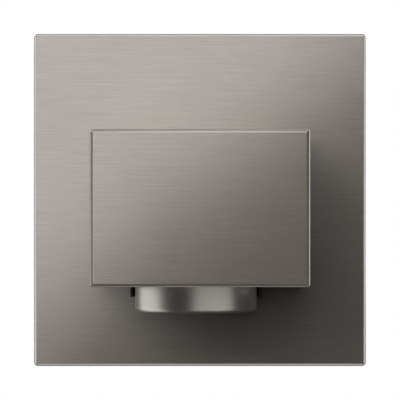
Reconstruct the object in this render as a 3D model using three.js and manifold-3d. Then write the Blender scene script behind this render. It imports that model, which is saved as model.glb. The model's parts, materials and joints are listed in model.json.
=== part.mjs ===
// Square flush-mounted wall switch with a proud rocker key and a rotary dimmer knob under it.
// Millimetres, +Z up. The wall is the plane y = 0, the front faces -Y, and the mechanism box goes into +Y.
// The origin is the plate's centre on the wall.
import * as THREE from "three";
import { mergeVertices } from "three/addons/utils/BufferGeometryUtils.js";
import Module from "manifold-3d";

const wasm = await Module();
wasm.setup();

// ---------------------------------------------------------------- driving dimensions
const GAP = 0.3; // left between pieces that touch
const BORE = 0.3; // radial clearance of every screw, shaft and axle

const PLATE = 81;
const PLATE_DEPTH = 7;
const PLATE_WALL = 1.6;
const PLATE_CORNER = 0.9;
const PLATE_EDGE = 0.4; // rounding of the plate's front edge

const KEY_WIDTH = 50.3;
const KEY_HEIGHT = 36.15;
const KEY_Z = -1.84; // the key, its axle and the contacts are centred on this height
const KEY_FRONT = -41;
const KEY_BACK = -8.6;
const KEY_WALL = 1.4;
const KEY_FACE = 1.5;
const KEY_CORNER = 0.6;
const KEY_EDGE = 0.5; // rounding of the key's front edge

const WINDOW_WIDTH = 44;
const WINDOW_HEIGHT = 30.8;

const AXLE_Y = -12;
const AXLE_R = 1.2;
const AXLE_HALF = 23.2; // half the axle's length

const KNOB_X = -0.97;
const KNOB_Y = -23;
const knobAxis = [KNOB_X, KNOB_Y];
const KNOB_R = 14.35;
const KNOB_BOTTOM = -26.2;
const KNOB_TOP = -14.4;
const KNOB_WALL = 1.2;
const KNOB_EDGE = 1.5; // rounding of the knob's lower edge
const SHAFT_R = 3;
const SHAFT_FLAT = 2.2; // from the shaft's axis to its flat
const BUSH_R = 4.4;

const EAR_INSIDE = 18.6; // the carrier's two ears hold the axle
const EAR_OUTSIDE = 20.8;
const CARRIER_X = -0.83;
const CARRIER_WIDTH = 31.2;
const CARRIER_BOTTOM = -22.95;
const SHELF_TOP = -9.6;
const SHELF_BOTTOM = -11.6;
const FLANGE_FRONT = -8.3;
const FLANGE_BACK = -PLATE_DEPTH - GAP;
const CARRIER_BACK = -4;
const STEM_HALF = 1.5; // half the height and about half the width of the key's stem
const STEM_SWEEP = 1.3; // room above and below the stem where it goes through the carrier

const RING = 71;
const RING_THICK = 1.2;
const RING_HOLE_X = 20.5;
const RING_HOLE_Z = 19.5;
const FIXING_X = 30; // device screws stand 60 mm apart
const FIXING_SLOT_R = 1.9;
const FIXING_SLOT_REACH = 4; // from a slot's middle to the centre of its round end
const DEVICE_SCREW_R = 1.5;
const DEVICE_SCREW_TIP = 21;

const COVER_WIDTH = 45;
const COVER_HEIGHT = 43;
const COVER_FRONT = -3.6;
const COVER_BACK = -RING_THICK - GAP;

const BASE_X = 22.4;
const BASE_Z = 21;
const BASE_WALL = 1.6;
const BASE_BACK = 27;

const CARRIAGE_Y = 6.2; // middle of the contact carriage, where the key's stem moves it
const CARRIAGE_HALF = 6;
const BRIDGE_THICK = 0.8;
const SPRING_LENGTH = 7;
const CONTACT_X = 7.2;
const CONTACT_GAP = 1.25;
const CONTACT_RISE = 0.5; // how far a bridge's contact tip stands out
const BRIDGE_TIP_R = 1.2;
const STRIP_THICK = 0.8;
const STRIP_TIP_R = 1.3;
const STRIP_TIP_RISE = 0.4;
const TERMINAL_X = 10.3;
const TERMINAL_Z = 16;
const TERMINAL_SCREW_Y = 18.8;

const BOARD_FRONT = 16;
const BOARD_THICK = 1.6;
const BOARD_BACK = BOARD_FRONT + BOARD_THICK + GAP;
const BOARD_PARTS_TOP = 24.8; // how far back the parts on the board reach
const FUSE_Z = 6.6; // the fuse and the capacitor share this height
const FUSE_X = -8.5;
const CAPACITOR_X = 8.6;
const COIL_X = -10.4;
const COIL_Z = -3.6;
const TRIAC_X = 9;
const CONNECTOR_DEPTH = 3.4;

const CARRIER_SCREW_X = 17;
const CARRIER_SCREW_Z = 10.2;
const COVER_SCREW_X = 17.5;
const COVER_SCREW_Z = 16.5;
const LEAD_X = -13;
const LEAD_Z = 7.9;
const LEAD_R = 1.1;
const PILOT_R = AXLE_R + BORE; // clearance hole for the axle and for the small screws

// ---------------------------------------------------------------- materials
const finish = (color, roughness, metalness) => ({ color, roughness, metalness });
const BRUSHED_STEEL = finish(0x9f9a90, 0.34, 1);
const BLACK_PLASTIC = finish(0x161616, 0.55, 0);
const GREY_PLASTIC = finish(0x8b8d8e, 0.5, 0);
const WHITE_PLASTIC = finish(0xd9d8d2, 0.5, 0);
const ZINC_STEEL = finish(0xb4b7ba, 0.4, 1);
const SPRING_STEEL = finish(0x9a9ca0, 0.3, 1);
const BRASS = finish(0xc2a25a, 0.35, 1);
const COPPER = finish(0xb87333, 0.35, 1);
const BOARD_GREEN = finish(0x1f5a38, 0.5, 0);
const DARK_RESIN = finish(0x1c1c1e, 0.5, 0);
const ALUMINIUM = finish(0xb9bcc0, 0.4, 1);
const YELLOW_FILM = finish(0xc9a63a, 0.45, 0);
const GLASS = finish(0xcfd6d6, 0.1, 0);
const CARBON = finish(0x2a2622, 0.7, 0);

// ---------------------------------------------------------------- shapes
// A box from its lowest to its highest corner.
function box([x0, y0, z0], [x1, y1, z1]) {
  const geometry = new THREE.BoxGeometry(x1 - x0, y1 - y0, z1 - z0);
  return solid(geometry.translate((x0 + x1) / 2, (y0 + y1) / 2, (z0 + z1) / 2));
}

// A cylinder along an axis ("x", "y" or "z") between two places on it; the centre gives the other two.
function rod(axis, from, to, radius, [x, y, z], sides = 24) {
  const geometry = new THREE.CylinderGeometry(radius, radius, to - from, sides);
  if (axis === "x") geometry.rotateZ(-Math.PI / 2);
  if (axis === "z") geometry.rotateX(Math.PI / 2);
  const middle = (from + to) / 2;
  const place = { x: [middle, y, z], y: [x, middle, z], z: [x, y, middle] }[axis];
  return solid(geometry.translate(...place));
}

// A rectangle with round corners, centred on (x, z).
function roundRectangle(width, height, corner, x = 0, z = 0) {
  const [w, h] = [width / 2, height / 2];
  const shape = new THREE.Shape();
  shape.moveTo(x + w - corner, z - h);
  shape.absarc(x + w - corner, z - h + corner, corner, -Math.PI / 2, 0);
  shape.absarc(x + w - corner, z + h - corner, corner, 0, Math.PI / 2);
  shape.absarc(x - w + corner, z + h - corner, corner, Math.PI / 2, Math.PI);
  shape.absarc(x - w + corner, z - h + corner, corner, Math.PI, 1.5 * Math.PI);
  return shape;
}

// A shape drawn in x and z, seen from the front, as a plate between two depths.
function plate(shape, front, back, curveSegments = 5) {
  const geometry = new THREE.ExtrudeGeometry(shape, {
    depth: back - front,
    bevelEnabled: false,
    curveSegments,
  });
  return solid(geometry.rotateX(Math.PI / 2).translate(0, back, 0));
}

// A plate whose front edge is rounded all the way round.
function roundedPlate(shape, front, back, edge) {
  const geometry = new THREE.ExtrudeGeometry(shape, {
    depth: back - front,
    bevelThickness: edge,
    bevelSize: edge,
    bevelOffset: -edge,
    bevelSegments: 2,
    curveSegments: 4,
  });
  const whole = solid(geometry.rotateX(Math.PI / 2).translate(0, back + edge, 0));
  return whole.subtract(box([-100, back, -100], [100, back + 10, 100]));
}

// A solid of revolution about the vertical line through (x, y); the profile lists [radius, height].
function turned(profile, [x, y], sides = 32) {
  const points = profile.map(([radius, height]) => new THREE.Vector2(radius, height));
  const geometry = new THREE.LatheGeometry(points, sides);
  return solid(geometry.rotateX(Math.PI / 2).translate(x, y, 0));
}

// A closed ring or tube about the vertical line through (x, y).
function tube(outer, inner, low, high, centre, sides = 32) {
  const outside = rod("z", low, high, outer, [...centre, 0], sides);
  return outside.subtract(rod("z", low - 1, high + 1, inner, [...centre, 0], sides));
}

// ---------------------------------------------------------------- joining and cutting
function solid(geometry) {
  const bare = geometry.index ? geometry.toNonIndexed() : geometry;
  bare.deleteAttribute("normal");
  bare.deleteAttribute("uv");
  const merged = mergeVertices(bare, 1e-4);
  return new wasm.Manifold(
    new wasm.Mesh({
      numProp: 3,
      vertProperties: merged.attributes.position.array,
      triVerts: new Uint32Array(merged.index.array),
    }),
  );
}

function join(...solids) {
  return solids.reduce((whole, piece) => whole.add(piece));
}

function cut(whole, ...tools) {
  return tools.reduce((left, tool) => left.subtract(tool), whole);
}

// A named mesh of one solid.
function mesh(name, body, look) {
  const { vertProperties, triVerts } = body.getMesh();
  const geometry = new THREE.BufferGeometry();
  geometry.setAttribute("position", new THREE.BufferAttribute(vertProperties, 3));
  geometry.setIndex(new THREE.BufferAttribute(triVerts, 1));
  const shown = geometry.toNonIndexed();
  shown.computeVertexNormals();
  const made = new THREE.Mesh(shown, new THREE.MeshStandardMaterial(look));
  made.name = name;
  return made;
}

// A pan-head screw along y, its head towards the front.
function screwAlongY(headFront, headRadius, headDepth, tip, radius, x, z) {
  const headBack = headFront + headDepth;
  const head = rod("y", headFront, headBack, headRadius, [x, 0, z], 20);
  const shank = rod("y", headBack - 0.1, tip, radius, [x, 0, z], 12);
  const slot = box([x - 0.35, headFront - 1, z - 5], [x + 0.35, headFront + 0.7, z + 5]);
  return cut(join(head, shank), slot);
}

// Two numbers, the smaller first.
const inOrder = (first, second) => [Math.min(first, second), Math.max(first, second)];

const sides = [
  ["left", -1],
  ["right", 1],
];
const ends = [
  ["upper", 1],
  ["lower", -1],
];

// ---------------------------------------------------------------- face plate and its fixing
function facePlate() {
  const inner = PLATE - 2 * PLATE_WALL;
  const outside = roundRectangle(PLATE, PLATE, PLATE_CORNER);
  const hollow = roundRectangle(inner, inner, 0.6);
  const window = roundRectangle(WINDOW_WIDTH, WINDOW_HEIGHT, 1, 0, KEY_Z);
  return cut(
    roundedPlate(outside, -PLATE_DEPTH, 0, PLATE_EDGE),
    plate(hollow, -PLATE_DEPTH + PLATE_WALL, 1),
    plate(window, -PLATE_DEPTH - 1, 0),
  );
}

function plateClipFrame() {
  const bar = 3.7; // width of the frame's four bars
  const hookHalf = 5;
  const outer = PLATE - 2 * PLATE_WALL - 0.8;
  const inner = outer - 2 * bar;
  const front = -PLATE_DEPTH + PLATE_WALL + GAP;
  const frame = cut(
    plate(roundRectangle(outer, outer, 1), front, COVER_BACK),
    plate(roundRectangle(inner, inner, 4), front - 1, COVER_BACK + 1),
  );
  const hookLow = RING / 2 + 0.5;
  const hooks = sides.flatMap(([, side]) => {
    const [low, high] = inOrder(side * hookLow, (side * outer) / 2);
    return [
      box([low, COVER_BACK - 1, -hookHalf], [high, -GAP, hookHalf]),
      box([-hookHalf, COVER_BACK - 1, low], [hookHalf, -GAP, high]),
    ];
  });
  return join(frame, ...hooks);
}

function fixingSlot(x, z, along) {
  const long = 2 * (FIXING_SLOT_REACH + FIXING_SLOT_R);
  const short = 2 * FIXING_SLOT_R;
  const size = along === "z" ? [short, long] : [long, short];
  const ends = FIXING_SLOT_R - 0.001; // the straight ends of a full round must keep a length
  return plate(roundRectangle(...size, ends, x, z), -RING_THICK - 1, 1);
}

function supportRing() {
  const hole = roundRectangle(2 * RING_HOLE_X, 2 * RING_HOLE_Z, 4);
  return cut(
    plate(roundRectangle(RING, RING, 9), -RING_THICK, 0),
    plate(hole, -RING_THICK - 1, 1),
    fixingSlot(FIXING_X, 0, "z"),
    fixingSlot(-FIXING_X, 0, "z"),
    fixingSlot(0, FIXING_X, "x"),
    fixingSlot(0, -FIXING_X, "x"),
  );
}

function deviceScrew(side) {
  const headDepth = 2.1;
  const headFront = -RING_THICK - GAP - headDepth;
  return screwAlongY(headFront, 3.1, headDepth, DEVICE_SCREW_TIP, DEVICE_SCREW_R, side * FIXING_X, 0);
}

// ---------------------------------------------------------------- mechanism box
const coverScrewPlaces = [
  ["upper", -COVER_SCREW_X, COVER_SCREW_Z],
  ["lower", COVER_SCREW_X, -COVER_SCREW_Z],
];

function mechanismBase() {
  const front = GAP;
  const outside = roundRectangle(2 * BASE_X, 2 * BASE_Z, 6);
  const inside = roundRectangle(2 * (BASE_X - BASE_WALL), 2 * (BASE_Z - BASE_WALL), 4.4);
  const shell = cut(
    plate(outside, front, BASE_BACK),
    plate(inside, front - 1, BASE_BACK - BASE_WALL),
  );
  // Blocks that the centring springs push against, above and below the contact carriage.
  const seat = CARRIAGE_HALF + BRIDGE_THICK + 2 * GAP + SPRING_LENGTH + GAP;
  const seatHalf = 4;
  const [seatFront, seatBack] = [CARRIAGE_Y - 3.2, CARRIAGE_Y + 3.4];
  const wall = BASE_Z - BASE_WALL + 0.1;
  const seats = [
    box([-seatHalf, seatFront, KEY_Z + seat], [seatHalf, seatBack, wall]),
    box([-seatHalf, seatFront, -wall], [seatHalf, seatBack, KEY_Z - seat]),
  ];
  // Posts that take the screws, each tied to the nearest side wall by a web.
  const postRadius = 2.6;
  const webHalf = 1.2;
  const post = (x, z, depth) => {
    const edge = Math.sign(x) * (BASE_X - BASE_WALL + 0.1);
    const [low, high] = inOrder(x, edge);
    const web = box([low, front, z - webHalf], [high, depth, z + webHalf]);
    return join(rod("y", front, depth, postRadius, [x, 0, z], 20), web);
  };
  const [coverDepth, carrierDepth] = [10, 8];
  const posts = [
    ...coverScrewPlaces.map(([, x, z]) => post(x, z, coverDepth)),
    ...sides.map(([, side]) => post(side * CARRIER_SCREW_X, CARRIER_SCREW_Z, carrierDepth)),
  ];
  const pilot = (x, z, depth) => rod("y", front - 1, depth, PILOT_R, [x, 0, z], 16);
  const pilots = [
    ...coverScrewPlaces.map(([, x, z]) => pilot(x, z, coverDepth - 1)),
    ...sides.map(([, side]) => pilot(side * CARRIER_SCREW_X, CARRIER_SCREW_Z, carrierDepth - 1)),
  ];
  // Rests behind the circuit board's corners.
  const [restX, restZ, restRadius] = [18.4, 9.2, 1.6];
  const rests = sides.flatMap(([, side]) =>
    ends.map(([, end]) => {
      const centre = [side * restX, 0, end * restZ];
      return rod("y", BOARD_BACK, BASE_BACK - 1, restRadius, centre, 12);
    }),
  );
  // A wire entry at the back and a screwdriver hole above or below, for each terminal.
  const [entryRadius, driverRadius] = [1.7, 2.3];
  const entries = sides.flatMap(([, side]) =>
    ends.flatMap(([, end]) => {
      const x = side * TERMINAL_X;
      const [low, high] = inOrder(end * (BASE_Z - 3), end * (BASE_Z + 1));
      return [
        rod("y", BASE_BACK - 3, BASE_BACK + 1, entryRadius, [x, 0, end * TERMINAL_Z], 16),
        rod("z", low, high, driverRadius, [x, TERMINAL_SCREW_Y, 0], 16),
      ];
    }),
  );
  return cut(join(shell, ...seats, ...posts, ...rests), ...pilots, ...entries);
}

function mechanismCover() {
  const through = (radius, x, z) => rod("y", COVER_FRONT - 1, COVER_BACK + 1, radius, [x, 0, z], 16);
  const screwHoles = sides.map(([, side]) => through(PILOT_R, side * CARRIER_SCREW_X, CARRIER_SCREW_Z));
  const headHole = [2.5, 1.4]; // radius and depth of the hole that takes a screw's head
  const sunkHoles = coverScrewPlaces.flatMap(([, x, z]) => [
    through(PILOT_R, x, z),
    rod("y", COVER_FRONT - 1, COVER_FRONT + headHole[1], headHole[0], [x, 0, z], 20),
  ]);
  const [slotX, slotZ] = [2, 2.7];
  return cut(
    plate(roundRectangle(COVER_WIDTH, COVER_HEIGHT, 5), COVER_FRONT, COVER_BACK),
    box([-slotX, COVER_FRONT - 1, KEY_Z - slotZ], [slotX, COVER_BACK + 1, KEY_Z + slotZ]),
    through(LEAD_R + 0.5, LEAD_X, LEAD_Z),
    ...screwHoles,
    ...sunkHoles,
  );
}

function coverScrew(x, z) {
  return screwAlongY(COVER_FRONT + 0.1, 2.2, 1, 8.5, AXLE_R, x, z);
}

// ---------------------------------------------------------------- contacts and terminals
const bridgeLow = CARRIAGE_HALF + GAP;
const tipHigh = bridgeLow + BRIDGE_THICK + CONTACT_RISE;
const stripLow = tipHigh + CONTACT_GAP + STRIP_TIP_RISE;

// Mirrors a solid built above the key's middle height to below it.
function atEnd(body, end) {
  return end > 0 ? body.translate([0, 0, KEY_Z]) : body.mirror([0, 0, 1]).translate([0, 0, KEY_Z]);
}

function contactCarriage() {
  const half = 5;
  const [front, back] = [CARRIAGE_Y - 3, CARRIAGE_Y + 3];
  const lip = 0.8; // thickness of the lips in front of and behind each bridge
  const lipHigh = bridgeLow + 0.6;
  const body = box([-half, front, -CARRIAGE_HALF], [half, back, CARRIAGE_HALF]);
  const lips = [
    box([-half, front, CARRIAGE_HALF - 0.1], [half, front + lip, lipHigh]),
    box([-half, back - lip, CARRIAGE_HALF - 0.1], [half, back, lipHigh]),
  ];
  const lowerLips = lips.map((upper) => upper.mirror([0, 0, 1]));
  const [slotX, slotZ] = [2, STEM_HALF + 0.6];
  const stemSlot = box([-slotX, front - 1, -slotZ], [slotX, back + 1, slotZ]);
  return cut(join(body, ...lips, ...lowerLips), stemSlot).translate([0, 0, KEY_Z]);
}

function contactBridge(end) {
  const [halfLength, halfWidth] = [8.6, 1.9];
  const strip = box(
    [-halfLength, CARRIAGE_Y - halfWidth, bridgeLow],
    [halfLength, CARRIAGE_Y + halfWidth, bridgeLow + BRIDGE_THICK],
  );
  const tips = sides.map(([, side]) =>
    rod("z", bridgeLow + 0.1, tipHigh, BRIDGE_TIP_R, [side * CONTACT_X, CARRIAGE_Y, 0], 12),
  );
  return atEnd(join(strip, ...tips), end);
}

class Helix extends THREE.Curve {
  constructor(radius, height, turns) {
    super();
    Object.assign(this, { radius, height, turns });
  }
  getPoint(t, target = new THREE.Vector3()) {
    const angle = 2 * Math.PI * this.turns * t;
    return target.set(this.radius * Math.cos(angle), this.radius * Math.sin(angle), this.height * t);
  }
}

function centringSpring(end) {
  const wire = 0.28;
  const coil = 2.1;
  const turns = 5;
  const section = new THREE.Shape().absarc(0, 0, wire, 0, 2 * Math.PI);
  const geometry = new THREE.ExtrudeGeometry(section, {
    steps: turns * 10,
    curveSegments: 6,
    bevelEnabled: false,
    extrudePath: new Helix(coil, SPRING_LENGTH - 2 * wire, turns),
  });
  const low = bridgeLow + BRIDGE_THICK + GAP + wire;
  return atEnd(solid(geometry.translate(0, CARRIAGE_Y, low)), end);
}

// A bent strip from a fixed contact tip, out past the box's middle and back to its terminal.
function contactStrip(side, end) {
  const [front, back] = [CARRIAGE_Y - 1.8, CARRIAGE_Y + 1.8];
  const [tipEnd, outside] = [5.7, 11];
  const inside = outside - STRIP_THICK;
  const high = TERMINAL_Z + 1.2 - end * KEY_Z;
  const tongueLow = high - 2.4;
  const tongueBack = BOARD_FRONT - 1.3;
  const tipLow = stripLow - STRIP_TIP_RISE;
  const tip = rod("z", tipLow, stripLow + 0.1, STRIP_TIP_R, [CONTACT_X, CARRIAGE_Y, 0], 12);
  const upright = join(
    box([tipEnd, front, stripLow], [outside, back, stripLow + STRIP_THICK]),
    tip,
    box([inside, front, stripLow], [outside, back, high]),
    box([inside, front, tongueLow], [outside, tongueBack, high]),
  );
  return atEnd(side > 0 ? upright : upright.mirror([1, 0, 0]), end);
}

function terminalBlock(side, end) {
  const half = 3.3;
  const [front, back] = [15, 22.5];
  const block = box(
    [TERMINAL_X - half, front, TERMINAL_Z - 2.8],
    [TERMINAL_X + half, back, TERMINAL_Z + 3.1],
  );
  const wireZ = TERMINAL_Z - 0.4;
  const wireBore = rod("y", front + 1, back + 1.5, 1.4, [TERMINAL_X, 0, wireZ], 16);
  const screwBore = rod("z", wireZ, BASE_Z, 1.3, [TERMINAL_X, TERMINAL_SCREW_Y, 0], 12);
  return mirrored(cut(block, wireBore, screwBore), side, end);
}

function terminalScrew(side, end) {
  const [x, y] = [TERMINAL_X, TERMINAL_SCREW_Y];
  const [headLow, headHigh] = [19.4, 20.8];
  const head = rod("z", headLow, headHigh, 1.9, [x, y, 0], 16);
  const shank = rod("z", TERMINAL_Z - 0.2, headLow + 0.1, 1, [x, y, 0], 10);
  const slot = box([x - 0.3, y - 4, headHigh - 0.6], [x + 0.3, y + 4, headHigh + 1]);
  return mirrored(cut(join(head, shank), slot), side, end);
}

// Repeats a solid built at the upper right to another corner of the box.
function mirrored(body, side, end) {
  const sideways = side > 0 ? body : body.mirror([1, 0, 0]);
  return end > 0 ? sideways : sideways.mirror([0, 0, 1]);
}

// ---------------------------------------------------------------- dimmer circuit board
function circuitBoard() {
  const back = BOARD_FRONT + BOARD_THICK;
  return plate(roundRectangle(39, 22, 1), BOARD_FRONT, back);
}

function chokeCoil() {
  const [outer, inner] = [6, 2.4];
  const back = BOARD_PARTS_TOP - 0.2;
  const centre = [COIL_X, 0, COIL_Z];
  return cut(
    rod("y", BOARD_BACK, back, outer, centre, 28),
    rod("y", BOARD_BACK - 1, back + 1, inner, centre, 20),
  );
}

function capacitor() {
  return plate(roundRectangle(13, 5.4, 0.8, CAPACITOR_X, FUSE_Z), BOARD_BACK, BOARD_PARTS_TOP - 0.4);
}

function fuse() {
  const [halfLength, capLength, capRadius, glassRadius] = [7.5, 4.4, 2.6, 2.2];
  const centre = [0, BOARD_BACK + capRadius + 0.1, FUSE_Z];
  const [left, right] = [FUSE_X - halfLength, FUSE_X + halfLength];
  return join(
    rod("x", left + 0.4, right - 0.4, glassRadius, centre, 20),
    rod("x", left, left + capLength, capRadius, centre, 20),
    rod("x", right - capLength, right, capRadius, centre, 20),
  );
}

function triac() {
  const half = 5;
  const [low, high] = [-5.4, -1.2];
  const [back, tabHole] = [BOARD_PARTS_TOP - 0.4, 1.6];
  const body = box([TRIAC_X - half, BOARD_BACK, low], [TRIAC_X + half, back, high]);
  return cut(body, rod("z", low - 0.6, low + 1.2, tabHole, [TRIAC_X, back - 2, 0], 16));
}

function heatSink() {
  const half = 7.6;
  const [spineLow, spineHigh, finLow] = [-7.2, -5.8, -10.4];
  const [fins, finThick] = [5, 1];
  const left = TRIAC_X - half;
  const step = (2 * half - finThick) / (fins - 1);
  const spine = box([left, BOARD_BACK, spineLow], [left + 2 * half, BOARD_PARTS_TOP, spineHigh]);
  const row = Array.from({ length: fins }, (_, index) => {
    const x = left + index * step;
    return box([x, BOARD_BACK, finLow], [x + finThick, BOARD_PARTS_TOP, spineLow + 0.1]);
  });
  return join(spine, ...row);
}

function leadConnector() {
  const [halfX, halfZ, wall] = [3, 2.3, 0.8];
  const back = BOARD_FRONT - GAP;
  const front = back - CONNECTOR_DEPTH;
  const body = box([LEAD_X - halfX, front, LEAD_Z - halfZ], [LEAD_X + halfX, back, LEAD_Z + halfZ]);
  const socket = box(
    [LEAD_X - halfX + wall, front - 1, LEAD_Z - halfZ + wall],
    [LEAD_X + halfX - wall, front + 1.4, LEAD_Z + halfZ - wall],
  );
  return cut(body, socket);
}

// ---------------------------------------------------------------- knob carrier
function carrierEar(side) {
  const ear = 3.2; // radius round the axle
  const x = inOrder(side * EAR_INSIDE, side * EAR_OUTSIDE);
  return join(
    box([x[0], AXLE_Y, KEY_Z - ear], [x[1], FLANGE_BACK - 0.5, KEY_Z + ear]),
    rod("x", ...x, ear, [0, AXLE_Y, KEY_Z], 24),
  );
}

function carrierRib(x) {
  const [thick, tall, tip] = [1.4, 6, -20];
  const root = FLANGE_FRONT + 0.2;
  const foot = SHELF_TOP - 0.5;
  const corners = [
    [root, foot],
    [root, SHELF_TOP + tall],
    [tip, SHELF_TOP + 0.4],
    [tip, foot],
  ];
  const outline = new THREE.Shape(corners.map((corner) => new THREE.Vector2(...corner)));
  const geometry = new THREE.ExtrudeGeometry(outline, { depth: thick, bevelEnabled: false });
  // The outline is drawn in y and z, so its third direction becomes x.
  geometry.applyMatrix4(new THREE.Matrix4().set(0, 0, 1, x, 1, 0, 0, 0, 0, 1, 0, 0, 0, 0, 0, 1));
  return solid(geometry);
}

function knobCarrier() {
  const inWindow = roundRectangle(WINDOW_WIDTH - 2 * GAP, WINDOW_HEIGHT - 2 * GAP, 0.8, 0, KEY_Z);
  const flange = roundRectangle(WINDOW_WIDTH + 2, WINDOW_HEIGHT + 1, 1, 0, KEY_Z);
  const [left, right] = [CARRIER_X - CARRIER_WIDTH / 2, CARRIER_X + CARRIER_WIDTH / 2];
  const shelfRadius = 10;
  const stem = STEM_HALF + STEM_SWEEP;
  const [before, behind] = [FLANGE_FRONT - 2, 0]; // the holes run right through between these depths
  const whole = join(
    plate(inWindow, FLANGE_FRONT, CARRIER_BACK),
    plate(flange, FLANGE_FRONT, FLANGE_BACK),
    box([left, KNOB_Y, CARRIER_BOTTOM], [right, FLANGE_BACK - 0.2, SHELF_TOP]),
    rod("z", SHELF_BOTTOM, SHELF_TOP, shelfRadius, [...knobAxis, 0], 40),
    carrierEar(-1),
    carrierEar(1),
    carrierRib(-14),
    carrierRib(11),
  );
  const screwHoles = sides.map(([, side]) =>
    rod("y", before, behind, PILOT_R, [side * CARRIER_SCREW_X, 0, CARRIER_SCREW_Z], 16),
  );
  return cut(
    whole,
    rod("z", CARRIER_BOTTOM - 1, SHELF_BOTTOM, KNOB_R + 0.5, [...knobAxis, 0], 64),
    rod("z", SHELF_BOTTOM - 1, SHELF_TOP + 1, BUSH_R + BORE, [...knobAxis, 0], 24),
    box([-2.2, before, KEY_Z - stem], [2.2, behind, KEY_Z + stem]),
    rod("y", before, behind, LEAD_R + 0.5, [LEAD_X, 0, LEAD_Z], 16),
    rod("x", -WINDOW_WIDTH / 2, WINDOW_WIDTH / 2, PILOT_R, [0, AXLE_Y, KEY_Z], 20),
    ...screwHoles,
  );
}

function carrierScrew(side) {
  const headDepth = 1.5;
  const headFront = FLANGE_FRONT - GAP - headDepth;
  return screwAlongY(headFront, 2.2, headDepth, 6.5, AXLE_R, side * CARRIER_SCREW_X, CARRIER_SCREW_Z);
}

// ---------------------------------------------------------------- potentiometer and its lead
const CAN_R = 7.5;
const CAN_WALL = 0.8;
const CAN_LOW = SHELF_TOP + GAP;
const CAN_FLOOR = CAN_LOW + 0.9;
const CAN_HIGH = -3.4;
const PIN_Y = KNOB_Y + 5.9; // the three soldering pins on the can's cover
const WIPER_LOW = CAN_LOW + 1.2;
const WIPER_R = 5.3;

function potentiometerHousing() {
  const can = join(
    rod("z", CAN_LOW, CAN_HIGH, CAN_R, [...knobAxis, 0], 32),
    rod("z", KNOB_TOP + 0.2, CAN_LOW + 0.1, BUSH_R, [...knobAxis, 0], 24),
  );
  const hollow = rod("z", CAN_FLOOR, CAN_HIGH + 1, CAN_R - CAN_WALL, [...knobAxis, 0], 32);
  const bore = rod("z", KNOB_TOP - 1, CAN_FLOOR + 1, SHAFT_R + BORE, [...knobAxis, 0], 20);
  const stopHalf = 1.5;
  const stop = box(
    [KNOB_X - stopHalf, KNOB_Y - CAN_R + 0.4, CAN_FLOOR - 0.1],
    [KNOB_X + stopHalf, KNOB_Y - WIPER_R - 0.4, CAN_FLOOR + 1.8],
  );
  return join(cut(can, hollow, bore), stop);
}

function potentiometerCover() {
  const top = CAN_HIGH + 1.1;
  const disc = rod("z", CAN_HIGH + GAP, top, CAN_R, [...knobAxis, 0], 32);
  const [halfWidth, halfThick, length] = [0.4, 0.3, 1.5];
  const pins = [-2.5, 0, 2.5].map((step) => {
    const x = KNOB_X + step;
    return box(
      [x - halfWidth, PIN_Y - halfThick, top - 0.1],
      [x + halfWidth, PIN_Y + halfThick, top + length],
    );
  });
  return join(disc, ...pins);
}

function potentiometerWasher() {
  const high = SHELF_BOTTOM - GAP;
  return tube(7, BUSH_R + BORE, high - 0.4, high, knobAxis, 24);
}

function potentiometerNut() {
  const [low, high, radius] = [-13.9, -12.6, 6.8];
  const hexagon = rod("z", low, high, radius, [...knobAxis, 0], 6);
  return cut(hexagon, rod("z", low - 1, high + 1, BUSH_R + BORE, [...knobAxis, 0], 24));
}

function potentiometerShaft() {
  const [low, high] = [-23.2, -6.6];
  const shaft = rod("z", low, high, SHAFT_R, [...knobAxis, 0], 24);
  return cut(shaft, beyondFlat(SHAFT_FLAT, low - 1, KNOB_TOP - 0.2));
}

// What lies beyond the shaft's flat, at a distance from its axis.
function beyondFlat(distance, low, high) {
  return box([KNOB_X + distance, KNOB_Y - 5, low], [KNOB_X + 5, KNOB_Y + 5, high]);
}

function potentiometerWiper() {
  const high = WIPER_LOW + 1;
  const [tabHalf, armHalf, armTop] = [1.2, 0.9, -4.9];
  const disc = tube(WIPER_R, SHAFT_R + BORE, WIPER_LOW, high, knobAxis, 28);
  const tab = box(
    [KNOB_X - tabHalf, KNOB_Y + WIPER_R - 0.7, WIPER_LOW],
    [KNOB_X + tabHalf, KNOB_Y + WIPER_R + 1, high],
  );
  const arm = box([KNOB_X - armHalf, KNOB_Y + 3.8, high - 0.1], [KNOB_X + armHalf, KNOB_Y + 5, armTop]);
  return join(disc, tab, arm);
}

function potentiometerLead() {
  const end = BOARD_FRONT - CONNECTOR_DEPTH - 2 * GAP;
  const route = [
    [KNOB_X - 4.6, KNOB_Y + 6, CAN_HIGH + 2],
    [KNOB_X - 8, KNOB_Y + 6, 1.5],
    [LEAD_X + 0.6, -16.2, 6.6],
    [LEAD_X, AXLE_Y, LEAD_Z],
    [LEAD_X, CARRIER_BACK, LEAD_Z],
    [LEAD_X, 4, LEAD_Z],
    [LEAD_X, end, LEAD_Z],
  ];
  const curve = new THREE.CatmullRomCurve3(route.map((point) => new THREE.Vector3(...point)));
  const section = new THREE.Shape().absarc(0, 0, LEAD_R, 0, 2 * Math.PI);
  return solid(
    new THREE.ExtrudeGeometry(section, {
      steps: 28,
      curveSegments: 8,
      bevelEnabled: false,
      extrudePath: curve,
    }),
  );
}

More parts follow.
